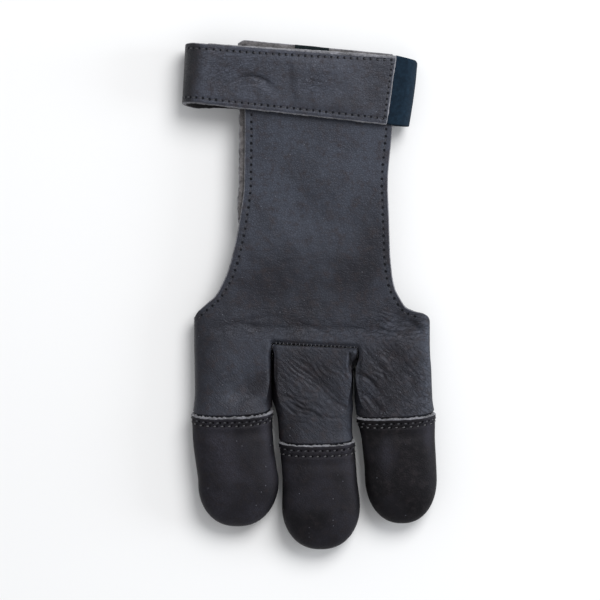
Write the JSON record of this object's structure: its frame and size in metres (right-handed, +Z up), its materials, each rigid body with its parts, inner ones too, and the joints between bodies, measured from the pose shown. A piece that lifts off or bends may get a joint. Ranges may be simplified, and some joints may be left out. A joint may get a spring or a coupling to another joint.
{
  "type": "archery shooting glove",
  "caption": "Leather shooting glove for the drawing fingers, with thick fingertip caps, an open palm and a wrist strap that fastens on the back of the hand.",
  "frame": {"origin": "middle of the base of the whole glove, on the surface that it lies on", "axes": "+Z up from the surface, through the back of the hand; +Y from the fingertips to the wrist; +X from the ring finger to the index finger"},
  "size_m": [0.1018, 0.2038, 0.0164],
  "materials": {
    "hide": "charcoal grain leather, soft sheen, light raw edges",
    "cap_leather": "near-black smooth leather, light raw edge at the rim",
    "strap_leather": "charcoal grain leather with a row of stitches along its edges",
    "lining_suede": "grey suede, flesh side out",
    "elastic": "dark navy woven elastic",
    "hook_and_loop": "black hook and loop fabric",
    "woven_tab": "plain dark woven tape"
  },
  "bodies": {
    "root": {"hand_hide": "hide", "back_lining": "lining_suede", "middle_sleeve": "hide", "ring_cap": "cap_leather", "middle_cap": "cap_leather", "index_cap": "cap_leather", "wrist_strap": "strap_leather", "elastic_band": "elastic", "closure_patch": "hook_and_loop", "size_tab": "woven_tab"}
  },
  "joints": []
}
